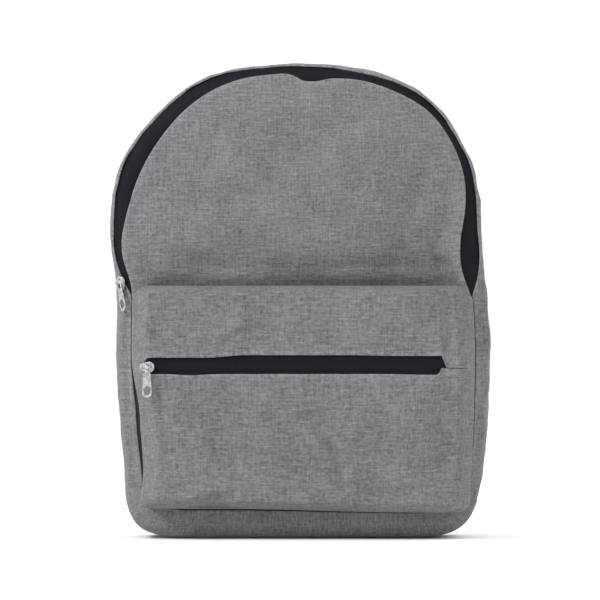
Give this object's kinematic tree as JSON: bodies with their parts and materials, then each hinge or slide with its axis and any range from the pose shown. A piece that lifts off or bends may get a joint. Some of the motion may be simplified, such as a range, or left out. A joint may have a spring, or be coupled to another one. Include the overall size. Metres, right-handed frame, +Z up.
{
  "type": "daypack",
  "caption": "Fabric daypack with an arched main zip, a zipped front pocket, two padded shoulder straps and a haul loop.",
  "frame": {"origin": "centre of the flat bottom that the bag stands on", "axes": "+X to the right seen from the front, -Y out of the front pocket, +Z up towards the haul loop"},
  "size_m": [0.312, 0.1775, 0.4],
  "materials": {
    "shell_fabric": "grey melange woven polyester",
    "lining_fabric": "plain dark nylon lining",
    "foam": "closed-cell foam",
    "spacer_mesh": "dark knitted spacer mesh",
    "zip_tape": "near-black woven zip tape",
    "zip_coil": "near-black nylon coil",
    "slider_metal": "satin nickel",
    "strap_fabric": "dark woven webbing and strap cloth",
    "buckle_plastic": "black moulded acetal"
  },
  "bodies": {
    "bag": {"gusset_bottom": "shell_fabric", "gusset_right": "shell_fabric", "gusset_left": "shell_fabric", "gusset_top": "shell_fabric", "back_seam_binding": "lining_fabric", "main_zip_tape_gusset": "zip_tape", "main_zip_coil_gusset": "zip_coil", "main_zip_end_right": "zip_tape", "main_zip_end_left": "zip_tape", "front_panel_lower": "shell_fabric", "back_panel": "spacer_mesh", "back_foam": "foam", "back_lining": "lining_fabric", "pocket_panel_upper": "shell_fabric", "pocket_panel_lower": "shell_fabric", "pocket_zip_tape_upper": "zip_tape", "pocket_zip_tape_lower": "zip_tape", "pocket_zip_coil_upper": "zip_coil", "pocket_zip_coil_lower": "zip_coil", "pocket_zip_end_right": "shell_fabric", "pocket_zip_end_left": "shell_fabric", "strap_yoke": "strap_fabric", "adjuster_webbing_left": "strap_fabric", "anchor_tab_left": "strap_fabric", "adjuster_webbing_right": "strap_fabric", "anchor_tab_right": "strap_fabric"},
    "front_flap": {"front_flap": "shell_fabric", "main_zip_tape_flap": "zip_tape", "main_zip_coil_flap": "zip_coil"},
    "main_slider": {"main_slider": "slider_metal"},
    "main_pull": {"main_pull": "slider_metal"},
    "pocket_slider": {"pocket_slider": "slider_metal"},
    "pocket_pull": {"pocket_pull": "slider_metal"},
    "strap_left": {"shoulder_strap_left": "strap_fabric", "strap_webbing_left": "strap_fabric"},
    "strap_right": {"shoulder_strap_right": "strap_fabric", "strap_webbing_right": "strap_fabric"},
    "ladder_lock_left": {"ladder_lock_left": "buckle_plastic"},
    "ladder_lock_right": {"ladder_lock_right": "buckle_plastic"},
    "haul_loop": {"haul_loop": "strap_fabric"}
  },
  "joints": [
    {"name": "main_slider_travel", "type": "hinge", "parent": "bag", "child": "main_slider", "pos_m": [0, -0.0344, 0.246], "axis": [0, 1, 0], "range_deg": [0, 203.6], "deforming": ["main_zip_tape_gusset", "main_zip_coil_gusset", "main_zip_tape_flap", "main_zip_coil_flap", "main_zip_end_left", "main_zip_end_right"]},
    {"name": "main_pull_swing", "type": "hinge", "parent": "main_slider", "child": "main_pull", "pos_m": [-0.15184, -0.03591, 0.21415], "axis": [-0.5473, 0.829, -0.1148], "range_deg": [0, 150]},
    {"name": "pocket_slider_travel", "type": "slide", "parent": "bag", "child": "pocket_slider", "axis": [1, 0, 0], "range_m": [0, 0.232], "deforming": ["pocket_zip_tape_upper", "pocket_zip_tape_lower", "pocket_zip_coil_upper", "pocket_zip_coil_lower"]},
    {"name": "pocket_pull_swing", "type": "hinge", "parent": "pocket_slider", "child": "pocket_pull", "pos_m": [-0.1275, -0.07436, 0.144], "axis": [-1, 0, 0], "range_deg": [0, 170]},
    {"name": "front_flap_fold", "type": "hinge", "parent": "bag", "child": "front_flap", "pos_m": [0, -0.0368, 0.228], "axis": [1, 0, 0], "range_deg": [0, 100]},
    {"name": "haul_loop_swing", "type": "hinge", "parent": "bag", "child": "haul_loop", "pos_m": [0, 0.0546, 0.388], "axis": [1, 0, 0], "range_deg": [0, 165]},
    {"name": "strap_left_swing", "type": "hinge", "parent": "bag", "child": "strap_left", "pos_m": [-0.046, 0.053, 0.342], "axis": [1, 0, 0], "range_deg": [0, 20], "deforming": ["adjuster_webbing_left"]},
    {"name": "ladder_lock_left_tilt", "type": "hinge", "parent": "strap_left", "child": "ladder_lock_left", "pos_m": [-0.08662, 0.06427, 0.09956], "axis": [0.9989, -0.0137, -0.0458], "range_deg": [0, 35], "deforming": ["adjuster_webbing_left"]},
    {"name": "strap_right_swing", "type": "hinge", "parent": "bag", "child": "strap_right", "pos_m": [0.046, 0.053, 0.342], "axis": [1, 0, 0], "range_deg": [0, 20], "deforming": ["adjuster_webbing_right"]},
    {"name": "ladder_lock_right_tilt", "type": "hinge", "parent": "strap_right", "child": "ladder_lock_right", "pos_m": [0.08662, 0.06427, 0.09956], "axis": [0.9989, 0.0137, 0.0458], "range_deg": [0, 35], "deforming": ["adjuster_webbing_right"]}
  ]
}
